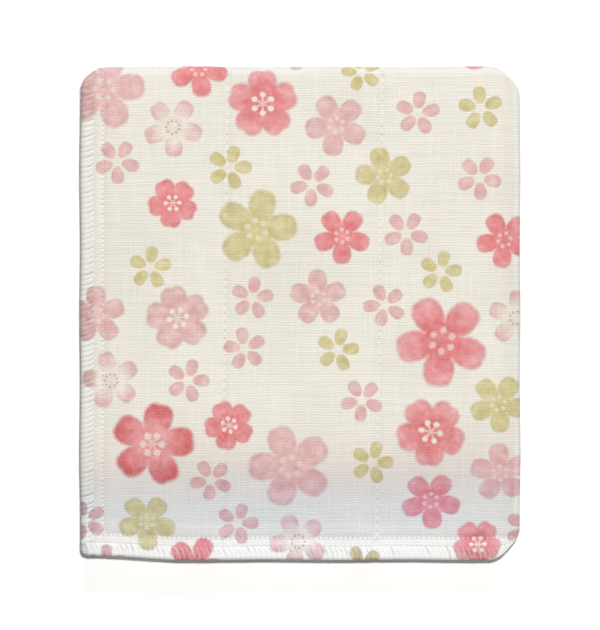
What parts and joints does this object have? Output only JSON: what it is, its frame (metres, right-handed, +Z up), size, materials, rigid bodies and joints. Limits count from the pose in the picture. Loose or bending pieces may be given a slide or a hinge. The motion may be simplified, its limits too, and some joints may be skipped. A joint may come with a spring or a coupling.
{
  "type": "folded dishcloth",
  "caption": "Quilted gauze dishcloth with a serged hem and a blossom print, folded twice into a flat quarter that lies on a table.",
  "frame": {"origin": "middle of the underside of the folded stack, on the surface it lies on", "axes": "+Z up, out of the top layer; +Y along the longer side, towards the second fold; +X towards the first fold; the open serged edges are at -X and -Y"},
  "size_m": [0.15, 0.17, 0.0083],
  "materials": {
    "printed_gauze": "plain woven cotton gauze in several plies, off-white with pink, red and yellow-green blossoms, matt"
  },
  "bodies": {
    "root": {"cloth": "printed_gauze"}
  },
  "joints": []
}
